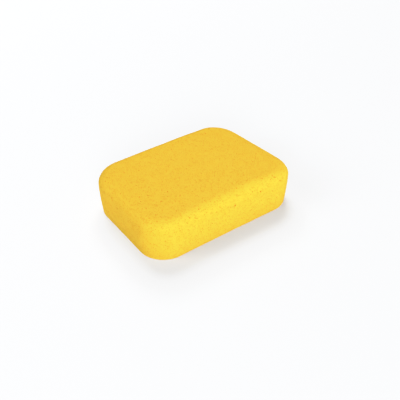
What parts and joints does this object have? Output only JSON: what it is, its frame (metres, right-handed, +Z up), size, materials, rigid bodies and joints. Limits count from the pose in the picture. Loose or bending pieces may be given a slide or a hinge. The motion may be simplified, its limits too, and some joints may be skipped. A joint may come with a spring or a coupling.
{
  "type": "cleaning sponge",
  "caption": "Rectangular foam cleaning sponge with rounded corners, a rolled top edge and a flat base.",
  "frame": {"origin": "middle of the flat base", "axes": "+X along the length, +Y across the width, +Z up from the base to the top face"},
  "size_m": [0.1906, 0.1396, 0.046],
  "materials": {
    "foam": "matte"
  },
  "bodies": {
    "root": {"foam_block": "foam"}
  },
  "joints": []
}
